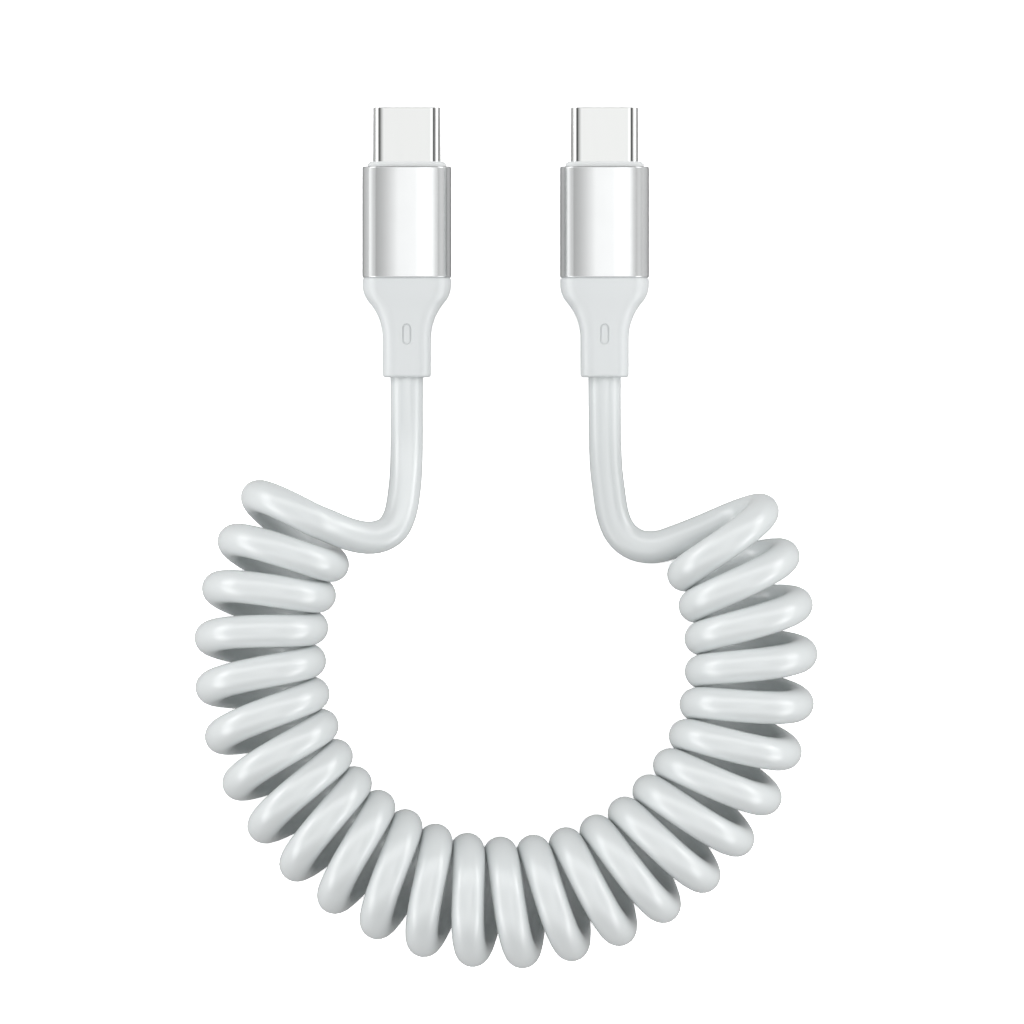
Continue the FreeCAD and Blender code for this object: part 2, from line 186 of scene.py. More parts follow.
class ContactSettings(bpy.types.PropertyGroup):
    width: FloatProperty(
        name="Contact width", description="Width of one contact",
        default=0.00022, unit="LENGTH", precision=5)
    thickness: FloatProperty(
        name="Contact thickness", description="Thickness of the contacts' strip",
        default=0.00015, unit="LENGTH", precision=5)
    bend_radius: FloatProperty(
        name="Bend radius", description="Radius of the bends along a contact",
        default=0.00025, unit="LENGTH", precision=5)
    pitch: FloatProperty(
        name="Pitch", description="From one place in the row to the next",
        default=0.0005, unit="LENGTH", precision=5)
    places: IntProperty(
        name="Places", description="Places in a row, whether they hold a contact or not", default=12)
    upper_places: StringProperty(
        name="Upper places in use", description="Places of the upper row that hold a contact",
        default="1 4 5 6 7 9 12")
    lower_places: StringProperty(
        name="Lower places in use", description="Places of the lower row that hold a contact",
        default="1 4 5 9 12")


class BootSettings(bpy.types.PropertyGroup):
    seam: FloatProperty(
        name="Seam", description="Width and depth of the groove against the sleeve",
        default=0.00015, unit="LENGTH", precision=5)
    straight: FloatProperty(
        name="Straight front", description="Length of the boot's front that is flush with the sleeve",
        default=0.0009, unit="LENGTH", precision=4)
    flare: FloatProperty(
        name="Flare", description="Length of the ogee between the front and the neck",
        default=0.0066, unit="LENGTH", precision=4)
    shoulder: FloatProperty(
        name="Shoulder", description="Radius of the ogee's shoulder",
        default=0.0032, unit="LENGTH", precision=4)
    neck_width: FloatProperty(
        name="Neck width", description="Width of the neck", default=0.00595, unit="LENGTH", precision=5)
    neck_height: FloatProperty(
        name="Neck thickness", description="Thickness of the neck",
        default=0.0052, unit="LENGTH", precision=4)
    neck_flat: FloatProperty(
        name="Neck flat", description="Width of the flat along the neck",
        default=0.0016, unit="LENGTH", precision=4)
    neck_crown: FloatProperty(
        name="Neck crown", description="Radius of the neck's broad faces",
        default=0.020, unit="LENGTH", precision=4)
    neck_corner: FloatProperty(
        name="Neck corner", description="Radius of the neck's corners",
        default=0.00185, unit="LENGTH", precision=5)
    neck_edge: FloatProperty(
        name="Neck edge", description="Rounding of the neck's end",
        default=0.00035, unit="LENGTH", precision=5)
    pocket_length: FloatProperty(
        name="Pocket length", description="Length of the pocket in the neck",
        default=0.0026, unit="LENGTH", precision=4)
    pocket_width: FloatProperty(
        name="Pocket width", description="Width of the pocket in the neck",
        default=0.0011, unit="LENGTH", precision=4)
    pocket_depth: FloatProperty(
        name="Pocket depth", description="Depth of the pocket in the neck, along its rim",
        default=0.00020, unit="LENGTH", precision=5)
    pocket_fade: FloatProperty(
        name="Pocket fade", description="Share of the rim's depth that is left at the pocket's ends",
        default=0.25, subtype="FACTOR", min=0, max=1)
    pocket_rim: FloatProperty(
        name="Pocket rim", description="Width of the deep rim round the pocket's raised floor",
        default=0.00016, unit="LENGTH", precision=5)
    pocket_floor: FloatProperty(
        name="Pocket floor", description="Depth of the pocket's raised floor",
        default=0.00006, unit="LENGTH", precision=5)
    pocket_edge: FloatProperty(
        name="Pocket edge", description="Rounding of the pocket's edges",
        default=0.00003, unit="LENGTH", precision=5)
    pocket_from_end: FloatProperty(
        name="Pocket place", description="From the neck's end to the pocket's middle",
        default=0.00525, unit="LENGTH", precision=5)
    colour: FloatVectorProperty(
        name="Boot colour", description="Colour of the moulded strain relief",
        default=(0.685, 0.71, 0.715), subtype="COLOR", min=0, max=1)
    collar_colour: FloatVectorProperty(
        name="Collar colour", description="Colour of the moulding inside the sleeve",
        default=(0.80, 0.82, 0.82), subtype="COLOR", min=0, max=1)


class StageSettings(bpy.types.PropertyGroup):
    view_width: FloatProperty(
        name="View width", description="Width of what the camera sees", default=0.1252, unit="LENGTH")
    view_x: FloatProperty(
        name="View middle X", description="Middle of the view, across",
        default=0.00077, unit="LENGTH", precision=5)
    view_y: FloatProperty(
        name="View middle Y", description="Middle of the view, along",
        default=-0.0330, unit="LENGTH", precision=4)
    view_height: FloatProperty(
        name="View height", description="Height above the floor that the view's width is measured at",
        default=0.005, unit="LENGTH", precision=4)
    lens: FloatProperty(
        name="Lens", description="Focal length in millimetres", default=600.0, unit="CAMERA")
    light: FloatProperty(
        name="Studio light", description="Strength of the soft light all round", default=1.0)
    side_light: FloatProperty(
        name="Side light", description="Power of each low box at the sides, in watts",
        default=1.4, unit="POWER")
    back_light: FloatProperty(
        name="Back light", description="Power of the low box behind the coil, in watts",
        default=1.6, unit="POWER")
    high_front_light: FloatProperty(
        name="High front light", description="Power of the high box in front of the mouths, in watts",
        default=3.0, unit="POWER")
    high_back_light: FloatProperty(
        name="High back light", description="Power of the high box behind the coil, in watts",
        default=1.2, unit="POWER")
    floor_lit: FloatProperty(
        name="Floor as light", description="Share of the light that the floor throws back at the cable",
        default=0.30, min=0, max=1)
    floor_mirrored: FloatProperty(
        name="Floor in gloss", description="Brightness of the floor in the cable's gloss", default=0.62)
    floor_seen: FloatProperty(
        name="Floor in view", description="Brightness of the floor to the camera", default=2.6)


def blend(start, end, share):
    """Value that lies the given share of the way from start to end."""
    return start + (end - start) * share


def crowned_outline(
        width, height, flat, crown_radius, corner_radius, crease=0.0, crown_steps=10, corner_steps=16):
    """Points round a plug's body: flats, crowned shoulders, a crease, rounded corners and flat sides."""
    corner_x = width / 2 - corner_radius
    along = crown_radius - corner_radius * cos(crease)
    aside = corner_radius * sin(crease)
    lean = asin((corner_x - flat / 2) / hypot(along, aside)) + atan2(aside, along)
    shoulder_z = height / 2 - crown_radius * (1 - cos(lean))
    corner_z = shoulder_z - corner_radius * cos(lean + crease)
    quadrant = []
    for step in range(crown_steps + 1):
        angle = lean * step / crown_steps
        fall = crown_radius * (1 - cos(angle))
        quadrant.append((flat / 2 + crown_radius * sin(angle), height / 2 - fall))
    for step in range(1, corner_steps + 1):
        angle = blend(lean + crease, pi / 2, step / corner_steps)
        quadrant.append((corner_x + corner_radius * sin(angle), corner_z + corner_radius * cos(angle)))
    right = quadrant + [(x, -z) for x, z in reversed(quadrant)]
    return right + [(-x, -z) for x, z in right]


def stadium_outline(length, breadth, steps=20):
    """Points round a shape with two straight sides and full-round ends."""
    radius = breadth / 2
    reach = length / 2 - radius
    straight_end = reach - min(0.1 * radius, 0.5 * reach)  # keeps the shading of the straight sides flat
    right = [(straight_end, radius)]
    for step in range(steps + 1):
        angle = pi * step / steps
        right.append((reach + radius * sin(angle), radius * cos(angle)))
    right.append((straight_end, -radius))
    return right + [(-x, -z) for x, z in right]


def ring_at(outline, y):
    """Outline across the plug as places at one y."""
    return [Vector((x, y, z)) for x, z in outline]


def edge_steps(radius, steps=5):
    """Inset and setback of each step round a quarter-round edge, from the end face to past the edge."""
    places = []
    for step in range(steps + 1):
        angle = pi / 2 * step / steps
        places.append((radius * (1 - sin(angle)), radius * (1 - cos(angle))))
    past_edge = 1.3 * radius
    return places + [(0.0, past_edge)]


def loft(name, rings, capped=False, hard_turn=HARD_TURN):
    """Closed body: a skin through every ring, and then back to the first or with a cap at each end."""
    body = bmesh.new()
    loops = [[body.verts.new(place) for place in ring] for ring in rings]
    pairs = list(zip(loops, loops[1:]))
    if capped:
        body.faces.new(loops[0])
        body.faces.new(loops[-1])
    else:
        pairs.append((loops[-1], loops[0]))
    for loop, following in pairs:
        for here, there in zip(range(len(loop)), [*range(1, len(loop)), 0]):
            body.faces.new((loop[here], loop[there], following[there], following[here]))
    bmesh.ops.recalc_face_normals(body, faces=body.faces)
    mesh = bpy.data.meshes.new(name)
    body.to_mesh(mesh)
    body.free()
    smooth(mesh, hard_turn)
    return mesh


def smooth(mesh, hard_turn):
    """Smooth shading, with a hard corner wherever the surface turns by more than the given angle."""
    mesh.shade_smooth()
    mesh.set_sharp_from_angle(angle=hard_turn)


def place(name, mesh, x, z, material):
    """Object for a mesh that was made about a plug's middle line, with the plug's place in its mesh."""
    mesh.transform(Matrix.Translation((x, 0, z)))
    mesh.materials.append(material)
    piece = bpy.data.objects.new(name, mesh)
    bpy.context.scene.collection.objects.link(piece)
    return piece


def finish_mesh(context, piece):
    """Turns a piece and its modifiers into one plain mesh."""
    context.view_layer.update()
    evaluated = piece.evaluated_get(context.evaluated_depsgraph_get())
    mesh = bpy.data.meshes.new_from_object(evaluated)
    piece.modifiers.clear()
    piece.data = mesh
    smooth(mesh, HARD_TURN)


def plug_lines():
    """Name and middle line of each plug."""
    return (("left", -plug_x), ("right", plug_x))


class Finish:
    """A material's nodes, with short calls to add what most finishes share."""

    def __init__(self, name, **sockets):
        self.material = bpy.data.materials.new(name)
        self.material.use_nodes = True
        self.nodes = self.material.node_tree.nodes
        self.links = self.material.node_tree.links
        self.shader = self.nodes["Principled BSDF"]
        self.coordinates = self.nodes.new("ShaderNodeTexCoord").outputs["Object"]
        for socket, value in sockets.items():
            self.shader.inputs[socket.replace("_", " ")].default_value = value

    def noise(self, size, detail=2.0, stretch=None):
        """Noise whose features are about size across, in metres."""
        noise = self.nodes.new("ShaderNodeTexNoise")
        noise.inputs["Scale"].default_value = 1 / size
        noise.inputs["Detail"].default_value = detail
        source = self.coordinates
        if stretch:
            mapping = self.nodes.new("ShaderNodeMapping")
            mapping.inputs["Scale"].default_value = stretch
            self.links.new(source, mapping.inputs["Vector"])
            source = mapping.outputs["Vector"]
        self.links.new(source, noise.inputs["Vector"])
        return noise.outputs["Fac"]

    def between(self, value, low, high, socket):
        """Carries a noise over to the given range of a shader's socket."""
        spread = self.nodes.new("ShaderNodeMapRange")
        spread.inputs["From Min"].default_value = NOISE_LOW
        spread.inputs["From Max"].default_value = NOISE_HIGH
        spread.inputs["To Min"].default_value = low
        spread.inputs["To Max"].default_value = high
        self.links.new(value, spread.inputs["Value"])
        self.links.new(spread.outputs["Result"], self.shader.inputs[socket])

    def tint(self, value, first, second):
        """Colours the surface between two tones."""
        ramp = self.nodes.new("ShaderNodeValToRGB")
        ramp.color_ramp.elements[0].position = NOISE_LOW
        ramp.color_ramp.elements[1].position = NOISE_HIGH
        ramp.color_ramp.elements[0].color = (*first, 1)
        ramp.color_ramp.elements[1].color = (*second, 1)
        self.links.new(value, ramp.inputs["Fac"])
        self.links.new(ramp.outputs["Color"], self.shader.inputs["Base Color"])

    def bump(self, value, height, strength=1.0):
        """Raises the surface by up to height, in metres."""
        bump = self.nodes.new("ShaderNodeBump")
        bump.inputs["Strength"].default_value = strength
        bump.inputs["Distance"].default_value = height
        self.links.new(value, bump.inputs["Height"])
        self.links.new(bump.outputs["Normal"], self.shader.inputs["Normal"])


def shaded(colour, share):
    """The colour made lighter or darker by a share."""
    return tuple(min(1.0, part * share) for part in colour)


def jacket_finish(colour):
    """Satin elastomer of the cord: faintly uneven, with a soft gloss."""
    finish = Finish("cord jacket", IOR=1.49, Specular_IOR_Level=0.85)
    finish.tint(finish.noise(0.03, 0.0), shaded(colour, 0.99), shaded(colour, 1.01))
    finish.between(finish.noise(0.02, 0.0), 0.21, 0.25, "Roughness")
    finish.bump(finish.noise(0.0005, 2.0), 0.0000008, 0.5)
    return finish.material


def boot_finish(colour):
    """Moulded elastomer of the boots: a finer, flatter satin than the cord."""
    finish = Finish("boot elastomer", IOR=1.49, Specular_IOR_Level=0.6)
    finish.tint(finish.noise(0.012, 0.0), shaded(colour, 0.99), shaded(colour, 1.01))
    finish.between(finish.noise(0.008, 0.0), 0.28, 0.32, "Roughness")
    finish.bump(finish.noise(0.0003, 2.0), 0.0000006, 0.5)
    return finish.material


def collar_finish(colour):
    """Fine matte plastic of the moulding inside the sleeve."""
    finish = Finish("collar plastic", IOR=1.5)
    finish.tint(finish.noise(0.002, 2.0), shaded(colour, 0.98), shaded(colour, 1.01))
    finish.between(finish.noise(0.0003, 3.0), 0.40, 0.5, "Roughness")
    finish.bump(finish.noise(0.00012, 2.0), 0.000003, 0.5)
    return finish.material


def sleeve_finish(colour):
    """Bead-blasted, anodised aluminium: a fine even grain."""
    finish = Finish("satin aluminium", Metallic=1.0, Specular_Tint=(0.4, 0.4, 0.4, 1))
    finish.tint(finish.noise(0.0025, 2.0), shaded(colour, 0.985), colour)
    finish.between(finish.noise(0.0004, 1.0), 0.17, 0.20, "Roughness")
    finish.bump(finish.noise(0.0002, 0.0), 0.0000002, 0.4)
    return finish.material


def shell_finish(colour):
    """Bright plating over drawn steel, with faint lines along the draw."""
    finish = Finish("bright plating", Metallic=1.0, Specular_Tint=(0.4, 0.4, 0.4, 1))
    draw_lines = finish.noise(0.0004, 2.0, stretch=(1.0, 0.05, 1.0))
    finish.tint(draw_lines, shaded(colour, 0.99), colour)
    finish.between(draw_lines, 0.07, 0.10, "Roughness")
    finish.bump(finish.noise(0.00015, 2.0, stretch=(1.0, 0.04, 1.0)), 0.0000002, 0.3)
    return finish.material


def insulator_finish():
    """Matte black insulator with a fine spark-eroded grain."""
    finish = Finish("black insulator", IOR=1.5)
    finish.tint(finish.noise(0.0008, 3.0), (0.018, 0.018, 0.019), (0.03, 0.03, 0.032))
    finish.between(finish.noise(0.0002, 3.0), 0.45, 0.6, "Roughness")
    finish.bump(finish.noise(0.00008, 2.0), 0.000004, 0.6)
    return finish.material


def contact_finish():
    """Thin gold plating on sprung contacts."""
    finish = Finish("gold plating", Metallic=1.0)
    finish.tint(finish.noise(0.0005, 2.0), (0.80, 0.57, 0.20), (0.90, 0.68, 0.28))
    finish.between(finish.noise(0.0002, 2.0), 0.16, 0.26, "Roughness")
    finish.bump(finish.noise(0.0001, 2.0, stretch=(1.0, 0.1, 1.0)), 0.0000006, 0.3)
    return finish.material


def spring_finish():
    """Bright stamped spring steel with rolling lines."""
    finish = Finish("spring steel", Metallic=1.0)
    finish.tint(finish.noise(0.0006, 2.0), (0.56, 0.57, 0.58), (0.64, 0.65, 0.66))
    finish.between(finish.noise(0.0003, 2.0, stretch=(1.0, 0.1, 1.0)), 0.2, 0.32, "Roughness")
    finish.bump(finish.noise(0.0001, 2.0, stretch=(1.0, 0.1, 1.0)), 0.0000008, 0.3)
    return finish.material


def board_finish():
    """Green solder mask over copper lines."""
    finish = Finish("solder mask", IOR=1.5)
    lines = finish.noise(0.0007, 0.0, stretch=(1.0, 0.15, 1.0))
    finish.tint(lines, (0.010, 0.11, 0.045), (0.02, 0.19, 0.085))
    finish.between(finish.noise(0.0003, 2.0), 0.25, 0.35, "Roughness")
    finish.bump(lines, 0.00001, 0.6)
    return finish.material


def wire_finish(name, colour):
    """Satin insulation of one of the wires inside the plug."""
    finish = Finish(name, IOR=1.48)
    finish.tint(finish.noise(0.0015, 2.0), shaded(colour, 0.9), colour)
    finish.between(finish.noise(0.0005, 2.0), 0.35, 0.45, "Roughness")
    finish.bump(finish.noise(0.0003, 2.0), 0.000003, 0.4)
    return finish.material


class CABLE_OT_cord(bpy.types.Operator):
    """Lay the cord from one plug to the other, with its curly part"""
    bl_idname = "cable.cord"
    bl_label = "Cord"

    def execute(self, context):
        settings = context.scene.cable_cord
        curve = bpy.data.curves.new("cord", "CURVE")
        curve.dimensions = "3D"
        curve.bevel_depth = settings.diameter / 2
        curve.bevel_resolution = 10
        curve.use_fill_caps = True
        points = left_route + self.turns(settings) + right_route[::-1]
        spline = curve.splines.new("NURBS")
        spline.points.add(len(points) - 1)
        for point, position in zip(spline.points, points):
            point.co = (*position, 1)
        spline.order_u = 3
        spline.use_endpoint_u = True
        spline.resolution_u = 4
        cord = bpy.data.objects.new("curly_cord", curve)
        context.scene.collection.objects.link(cord)
        curve.materials.append(jacket_finish(settings.colour))
        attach(cord, "root")
        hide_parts("left_lead", "coil", "right_lead")
        return {"FINISHED"}

    def turns(self, settings):
        """Control points of the curly part: a helix bent round the ring."""
        step = tau / settings.turn_points
        radius = (coil_radius - settings.diameter / 2) / cos(step / 2)
        points = []
        for index in range(settings.point_count):
            turn = settings.turn_start - step * index
            round_ring = settings.first_peak - turn / tau * settings.turn_pitch
            reach = ring_radius - settings.lean_in + (radius + settings.lean_in) * cos(turn)
            height = coil_radius + radius * sin(turn)
            points.append((reach * cos(round_ring), ring_y + reach * sin(round_ring), height))
        return points

    def length(self, cord):
        """Length of the cord's own line, in metres."""
        return sum(spline.calc_length() for spline in cord.data.splines)


class CABLE_OT_sleeves(bpy.types.Operator):
    """Make the satin aluminium sleeves"""
    bl_idname = "cable.sleeves"
    bl_label = "Sleeves"

    def execute(self, context):
        settings = context.scene.cable_plug
        material = sleeve_finish(settings.sleeve_colour)
        for side, x in plug_lines():
            piece = place(side + "_satin_sleeve", self.mesh(settings), x, plug_z, material)
            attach(piece, "root")
            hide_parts(side + "_sleeve")
        return {"FINISHED"}

    def mesh(self, settings):
        """Tube with rounded rims, front rim first."""
        front = sleeve_high.y
        back = sleeve_low.y
        edge = edge_steps(settings.sleeve_edge, 10)
        rings = [self.ring(settings, settings.sleeve_wall, front)]
        for inset, setback in edge:
            rings.append(self.ring(settings, inset, front - setback))
        for inset, setback in reversed(edge):
            rings.append(self.ring(settings, inset, back + setback))
        rings.append(self.ring(settings, settings.sleeve_wall, back))
        just_under_crease = 0.9 * settings.sleeve_crease
        return loft("satin sleeve", rings, hard_turn=just_under_crease)

    def ring(self, settings, inset, y):
        """The sleeve's section, moved inwards by inset."""
        outline = crowned_outline(
            sleeve_high.x - sleeve_low.x - 2 * inset, sleeve_high.z - sleeve_low.z - 2 * inset,
            settings.sleeve_flat, settings.sleeve_crown - inset, settings.sleeve_corner - inset,
            settings.sleeve_crease)
        return ring_at(outline, y)


class CABLE_OT_boots(bpy.types.Operator):
    """Make the moulded strain reliefs"""
    bl_idname = "cable.boots"
    bl_label = "Boots"

    def execute(self, context):
        settings = context.scene.cable_boot
        material = boot_finish(settings.colour)
        for side, x in plug_lines():
            piece = place(side + "_moulded_boot", self.mesh(context, settings), x, plug_z, material)
            self.sink_pockets(context, settings, piece, x)
            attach(piece, "root")
            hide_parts(side + "_boot")
        return {"FINISHED"}

    def flare_share(self, settings, distance):
        """How far the ogee has come down to the neck, from 0 to 1, at a distance along it."""
        drop = (sleeve_high.x - sleeve_low.x - settings.neck_width) / 2
        slope = 2 * atan(drop / settings.flare)
        if distance <= settings.shoulder * sin(slope):
            fall = settings.shoulder - sqrt(settings.shoulder ** 2 - distance ** 2)
        else:
            hollow = settings.flare / sin(slope) - settings.shoulder
            fall = drop - hollow + sqrt(hollow ** 2 - (settings.flare - distance) ** 2)
        return fall / drop

    def outline(self, context, settings, share, inset=0.0):
        """Boot's outline between the sleeve's section (share 0) and the neck's (share 1)."""
        plug = context.scene.cable_plug
        crease_lost = min(1, 3 * share)  # the crease runs out in the first third of the way
        return crowned_outline(
            blend(sleeve_high.x - sleeve_low.x, settings.neck_width, share) - 2 * inset,
            blend(sleeve_high.z - sleeve_low.z, settings.neck_height, share) - 2 * inset,
            blend(plug.sleeve_flat, settings.neck_flat, share),
            1 / blend(1 / plug.sleeve_crown, 1 / settings.neck_crown, share) - inset,
            blend(plug.sleeve_corner, settings.neck_corner, share) - inset,
            blend(plug.sleeve_crease, 0, crease_lost))

    def mesh(self, context, settings):
        """Groove, flush front, ogee, neck and rounded end, round a hole for the cord."""
        front = boot_high.y
        back = boot_low.y
        flare_start = front - settings.straight
        flare_steps = 28
        hole_radius = context.scene.cable_cord.diameter / 2
        groove = self.outline(context, settings, 0, settings.seam)
        body = self.outline(context, settings, 0)
        neck = self.outline(context, settings, 1)
        hole = [Vector((x, z)).normalized() * hole_radius for x, z in neck]
        rings = [ring_at(hole, front), ring_at(groove, front), ring_at(groove, front - settings.seam)]
        rings.append(ring_at(body, front - settings.seam))
        for step in range(flare_steps + 1):
            distance = settings.flare * step / flare_steps
            share = self.flare_share(settings, distance)
            rings.append(ring_at(self.outline(context, settings, share), flare_start - distance))
        for inset, setback in reversed(edge_steps(settings.neck_edge)):
            rings.append(ring_at(self.outline(context, settings, 1, inset), back + setback))
        rings.append(ring_at(hole, back))
        return loft("moulded boot", rings)

    def end_rise(self, settings, along):
        """Share of the rim's depth that is lost at a distance along the pocket from its middle."""
        past_straight = abs(along) - (settings.pocket_length - settings.pocket_width) / 2
        return (1 - settings.pocket_fade) * min(1, max(0, past_straight / (settings.pocket_width / 2)))

    def sink_pockets(self, context, settings, boot, x):
        """Cuts the shallow pocket above and below in the boot's neck."""
        surface = settings.neck_height / 2
        deep = surface - settings.pocket_depth
        floor = surface - settings.pocket_floor
        rim = settings.pocket_rim
        edge = settings.pocket_edge
        floor_middle = -0.4 * settings.pocket_width
        profile = [
            (floor_middle, floor), (-rim - edge, floor), (-rim, floor - edge), (-rim, deep + edge),
            (edge - rim, deep), (-edge, deep), (0, deep + edge), (0, surface - edge), (edge, surface),
            (edge, surface + settings.pocket_depth)]
        middle = boot_low.y + settings.pocket_from_end
        for name, turn in (("upper", 0), ("lower", pi)):
            rings = []
            for spread, height in profile:
                outline = stadium_outline(
                    settings.pocket_length + 2 * spread, settings.pocket_width + 2 * spread)
                drop = max(0, floor - height)
                rings.append([
                    Vector((across, along, height + drop * self.end_rise(settings, along)))
                    for along, across in outline])
            mesh = loft(name + " pocket", rings, capped=True)
            mesh.transform(Matrix.Rotation(turn, 4, "Y"))
            cutter = place(name + "_pocket_cutter", mesh, x, plug_z, boot.active_material)
            cutter.data.transform(Matrix.Translation((0, middle, 0)))
            cut = boot.modifiers.new("pocket", "BOOLEAN")
            cut.operation = "DIFFERENCE"
            cut.solver = "EXACT"
            cut.object = cutter
            finish_mesh(context, boot)
            bpy.data.objects.remove(cutter)


class CABLE_OT_shells(bpy.types.Operator):
    """Make the plugs' bright steel shells"""
    bl_idname = "cable.shells"
    bl_label = "Plug shells"

    def execute(self, context):
        settings = context.scene.cable_plug
        material = shell_finish(settings.shell_colour)
        for side, x in plug_lines():
            piece = place(side + "_bright_shell", self.mesh(settings), x, plug_z, material)
            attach(piece, "root")
            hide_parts(side + "_plug_shell")
        return {"FINISHED"}

    def ring(self, inset, y):
        """The shell's section, moved inwards by inset."""
        width = shell_high.x - shell_low.x - 2 * inset
        height = shell_high.z - shell_low.z - 2 * inset
        return ring_at(stadium_outline(width, height), y)

    def mesh(self, settings):
        """Drawn tube with a rounded lip."""
        front = shell_high.y
        back = shell_low.y
        rings = [self.ring(settings.shell_wall, back), self.ring(settings.shell_wall, front)]
        for inset, setback in edge_steps(settings.shell_lip):
            rings.append(self.ring(inset, front - setback))
        rings.append(self.ring(0, back))
        return loft("bright shell", rings)


def contact_row_tree():
    """Geometry nodes that sweep a strip along the object's line and repeat it at a row's places in use."""
    tree = bpy.data.node_groups.new("contact row", "GeometryNodeTree")
    tree.is_modifier = True
    ports = tree.interface
    ports.new_socket("Geometry", in_out="INPUT", socket_type="NodeSocketGeometry")
    for name in ("Width", "Thickness", "Bend radius", "Pitch"):
        ports.new_socket(name, in_out="INPUT", socket_type="NodeSocketFloat")
    ports.new_socket("Places", in_out="INPUT", socket_type="NodeSocketInt")
    ports.new_socket("Places in use", in_out="INPUT", socket_type="NodeSocketInt")
    ports.new_socket("Material", in_out="INPUT", socket_type="NodeSocketMaterial")
    ports.new_socket("Geometry", in_out="OUTPUT", socket_type="NodeSocketGeometry")
    given = tree.nodes.new("NodeGroupInput").outputs

    def add(kind, links, **options):
        """New node with its options set and its sockets linked or filled in."""
        family = "" if kind.startswith("Shader") else "GeometryNode"
        node = tree.nodes.new(family + kind)
        for option, value in options.items():
            setattr(node, option, value)
        for socket, value in links.items():
            if isinstance(value, bpy.types.NodeSocket):
                tree.links.new(value, node.inputs[socket])
            else:
                node.inputs[socket].default_value = value
        return node.outputs

    def sum_of(operation, first, second):
        """One sum on two values."""
        return add("ShaderNodeMath", {0: first, 1: second}, operation=operation)["Value"]

    line = add("MeshToCurve", {"Mesh": given["Geometry"]})["Curve"]
    bends = {"Curve": line, "Radius": given["Bend radius"], "Limit Radius": True, "Count": 4}
    line = add("FilletCurve", bends, mode="POLY")["Curve"]
    sizes = {"Width": given["Width"], "Height": given["Thickness"]}
    section = add("CurvePrimitiveQuadrilateral", sizes)["Curve"]
    strip = add("CurveToMesh", {"Curve": line, "Profile Curve": section, "Fill Caps": True})["Mesh"]
    row_length = sum_of("MULTIPLY", sum_of("SUBTRACT", given["Places"], 1.0), given["Pitch"])
    first = add("ShaderNodeCombineXYZ", {"X": sum_of("MULTIPLY", row_length, -0.5)})["Vector"]
    offset = add("ShaderNodeCombineXYZ", {"X": given["Pitch"]})["Vector"]
    row = add("MeshLine", {"Count": given["Places"], "Start Location": first, "Offset": offset})["Mesh"]
    place_bit = sum_of("POWER", 2.0, add("InputIndex", {})["Index"])
    places_left = sum_of("FLOOR", sum_of("DIVIDE", given["Places in use"], place_bit), 0.0)
    in_use = sum_of("MODULO", places_left, 2.0)
    strips = add("InstanceOnPoints", {"Points": row, "Selection": in_use, "Instance": strip})["Instances"]
    strips = add("RealizeInstances", {"Geometry": strips})["Geometry"]
    strips = add("SetMaterial", {"Geometry": strips, "Material": given["Material"]})["Geometry"]
    tree.links.new(strips, tree.nodes.new("NodeGroupOutput").inputs["Geometry"])
    return tree


class CABLE_OT_contacts(bpy.types.Operator):
    """Make the rows of gold contacts inside the plugs"""
    bl_idname = "cable.contacts"
    bl_label = "Contacts"

    def execute(self, context):
        settings = context.scene.cable_contacts
        tree = contact_row_tree()
        gold = contact_finish()
        for side, x in plug_lines():
            for row, places_in_use, turn in (
                    ("upper", settings.upper_places, 0), ("lower", settings.lower_places, pi)):
                piece = place(side + "_gold_contacts_" + row, self.line(), 0, 0, gold)
                self.repeat(context, settings, piece, tree, places_in_use, gold)
                piece.data.transform(Matrix.Translation((x, 0, plug_z)) @ Matrix.Rotation(turn, 4, "Y"))
                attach(piece, "root")
                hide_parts(side + "_contacts_" + row)
        return {"FINISHED"}

    def line(self):
        """Middle of one contact from its tail to its tip, about the plug's middle line."""
        mesh = bpy.data.meshes.new("contact line")
        places = [(0, shell_high.y - depth, height) for depth, height in contact_line]
        mesh.from_pydata(places, [(here, here + 1) for here in range(len(places) - 1)], [])
        return mesh

    def repeat(self, context, settings, piece, tree, places_in_use, gold):
        """Runs the row's geometry nodes on a piece."""
        values = {
            "Width": settings.width,
            "Thickness": settings.thickness,
            "Bend radius": settings.bend_radius,
            "Pitch": settings.pitch,
            "Places": settings.places,
            "Places in use": sum(2 ** (int(number) - 1) for number in places_in_use.split()),
            "Material": gold,
        }
        modifier = piece.modifiers.new("contact row", "NODES")
        modifier.node_group = tree
        for socket in tree.interface.items_tree:
            if socket.name in values:
                modifier[socket.identifier] = values[socket.name]
        finish_mesh(context, piece)
        if not piece.data.polygons:
            raise RuntimeError("the contact row came out empty")


class CABLE_OT_inner_parts(bpy.types.Operator):
    """Give the solids that stay in view their finishes"""
    bl_idname = "cable.inner_parts"
    bl_label = "Inner parts"

    def execute(self, context):
        insulator = insulator_finish()
        spring = spring_finish()
        finishes = {
            "inner_mould": collar_finish(context.scene.cable_boot.collar_colour),
            "front_housing": insulator,
            "contact_block_upper": insulator,
            "contact_block_lower": insulator,
            "latch_plate": spring,
            "ground_spring_upper": spring,
            "ground_spring_lower": spring,
            "paddle_card": board_finish(),
            "power_wire": wire_finish("red insulation", (0.50, 0.03, 0.025)),
            "ground_wire": wire_finish("black insulation", (0.03, 0.03, 0.03)),
            "data_minus_wire": wire_finish("white insulation", (0.78, 0.78, 0.76)),
            "data_plus_wire": wire_finish("green insulation", (0.03, 0.30, 0.09)),
            "config_wire": wire_finish("blue insulation", (0.04, 0.11, 0.42)),
        }
        for side in SIDES:
            for name, material in finishes.items():
                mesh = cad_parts[side + "_" + name].data
                mesh.materials.clear()
                mesh.materials.append(material)
        return {"FINISHED"}


